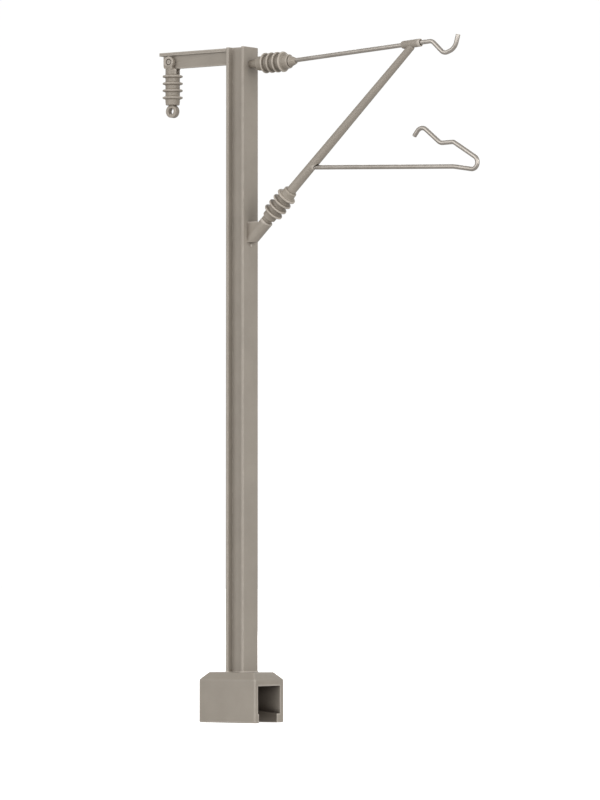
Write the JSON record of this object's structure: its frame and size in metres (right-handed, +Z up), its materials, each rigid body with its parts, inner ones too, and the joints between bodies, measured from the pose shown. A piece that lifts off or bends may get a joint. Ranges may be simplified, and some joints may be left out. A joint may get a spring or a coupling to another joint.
{
  "type": "model railway overhead line mast",
  "caption": "H-section overhead-line mast with hollow clip-on foot, insulated cantilever with wire hook and steady arm, and a hanging feeder insulator.",
  "frame": {"origin": "the mast's axis on the underside of the foot, where the mast stands on the track clip", "axes": "+Z up the mast, +X along the cantilever towards the track, +Y across the cantilever"},
  "size_m": [0.0518, 0.0064, 0.09],
  "materials": {
    "mast_plastic": "moulded warm grey, fine matt texture, slightly shiny on edges",
    "insulator_plastic": "moulded warm grey, smoother than the mast, darker between the sheds",
    "wire": "bare drawn wire, dull nickel grey with fine draw lines"
  },
  "bodies": {
    "mast": {"foot_block": "mast_plastic", "mast_column": "mast_plastic", "feeder_arm": "mast_plastic", "feeder_pin": "mast_plastic", "stay_insulator": "insulator_plastic", "stay_wire": "wire", "strut_bracket": "mast_plastic", "strut_insulator": "insulator_plastic", "strut_tube": "mast_plastic", "steady_arm_wire": "wire"},
    "hanging_insulator": {"feeder_insulator": "insulator_plastic"}
  },
  "joints": [
    {"name": "feeder_swing", "type": "hinge", "parent": "mast", "child": "hanging_insulator", "pos_m": [-0.01166, 0, 0.08873], "axis": [0, 1, 0], "range_deg": [-20, 20]}
  ]
}
